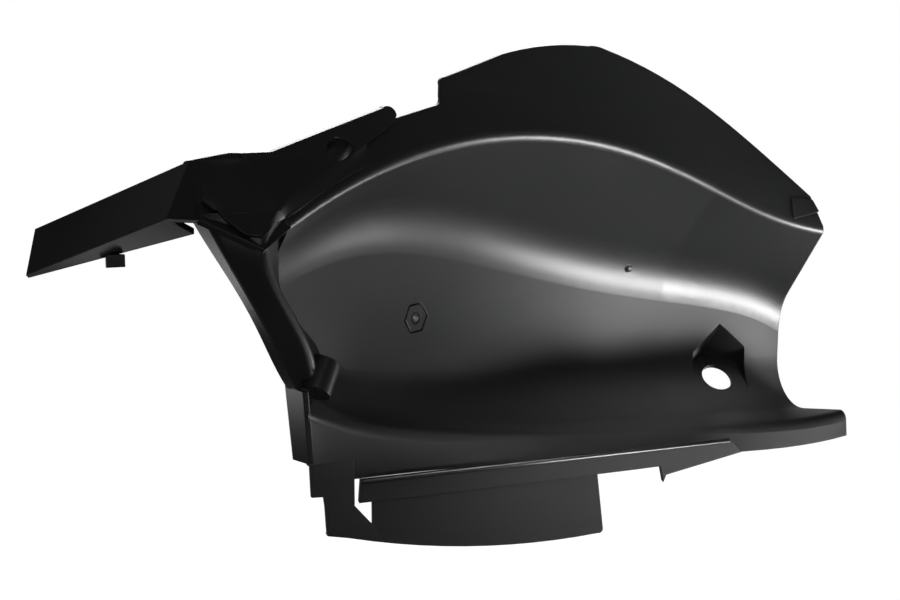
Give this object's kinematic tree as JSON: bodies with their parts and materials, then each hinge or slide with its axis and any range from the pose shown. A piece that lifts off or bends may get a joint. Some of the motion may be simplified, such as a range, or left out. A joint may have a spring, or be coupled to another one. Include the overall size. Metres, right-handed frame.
{
  "type": "motorcycle rear fender",
  "caption": "Moulded inner rear fender: a wheel-arch trough with a tall side panel, a fixing tongue, a bolt seat, a collared ear hole and a threaded insert.",
  "frame": {"origin": "middle of the bolt seat's hole, on the seat's floor", "axes": "+X toward the open mouth of the trough, +Z toward the tall side panel, -Y toward the wheel"},
  "size_m": [0.4935, 0.1673, 0.2811],
  "materials": {
    "black_plastic": "satin moulded",
    "insert_metal": "turned"
  },
  "bodies": {
    "root": {"fender_moulding": "black_plastic", "threaded_insert": "insert_metal"}
  },
  "joints": []
}
